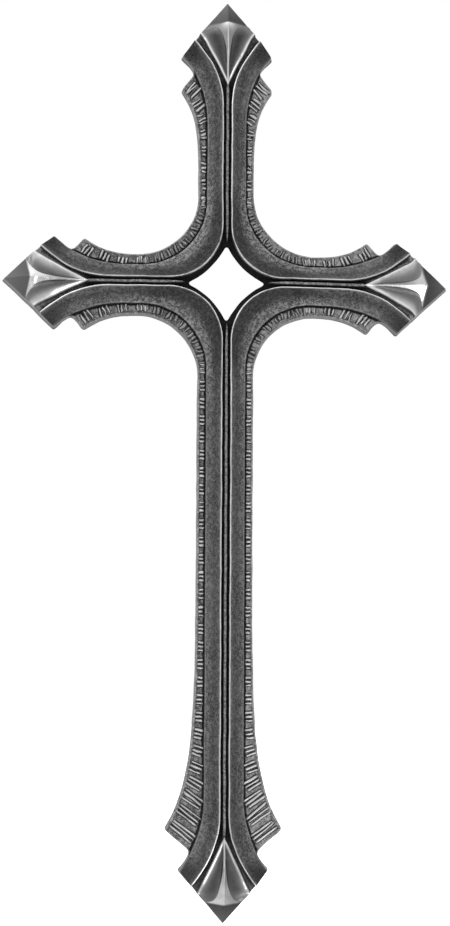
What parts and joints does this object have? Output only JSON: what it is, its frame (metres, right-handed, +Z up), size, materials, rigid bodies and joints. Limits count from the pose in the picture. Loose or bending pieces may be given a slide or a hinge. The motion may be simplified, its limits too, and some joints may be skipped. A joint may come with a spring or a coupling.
{
  "type": "grave cross",
  "caption": "Cast iron Latin cross for a headstone or wall: moulded arms, star opening at the crossing, ribbed flange, spear tips and a flat back.",
  "frame": {"origin": "on the flat back, on the middle line of the lower arm at the cross's balance point, 53 mm below the middle of the star", "axes": "+Z up along the upright, +X across the arms to the viewer's right, +Y out of the flat back, so the front faces -Y"},
  "size_m": [0.1966, 0.0145, 0.404],
  "materials": {
    "antique_cast_iron": "antiqued and burnished: dark patina in the recesses, bright metal on the raised edges"
  },
  "bodies": {
    "root": {"cross": "antique_cast_iron"}
  },
  "joints": []
}
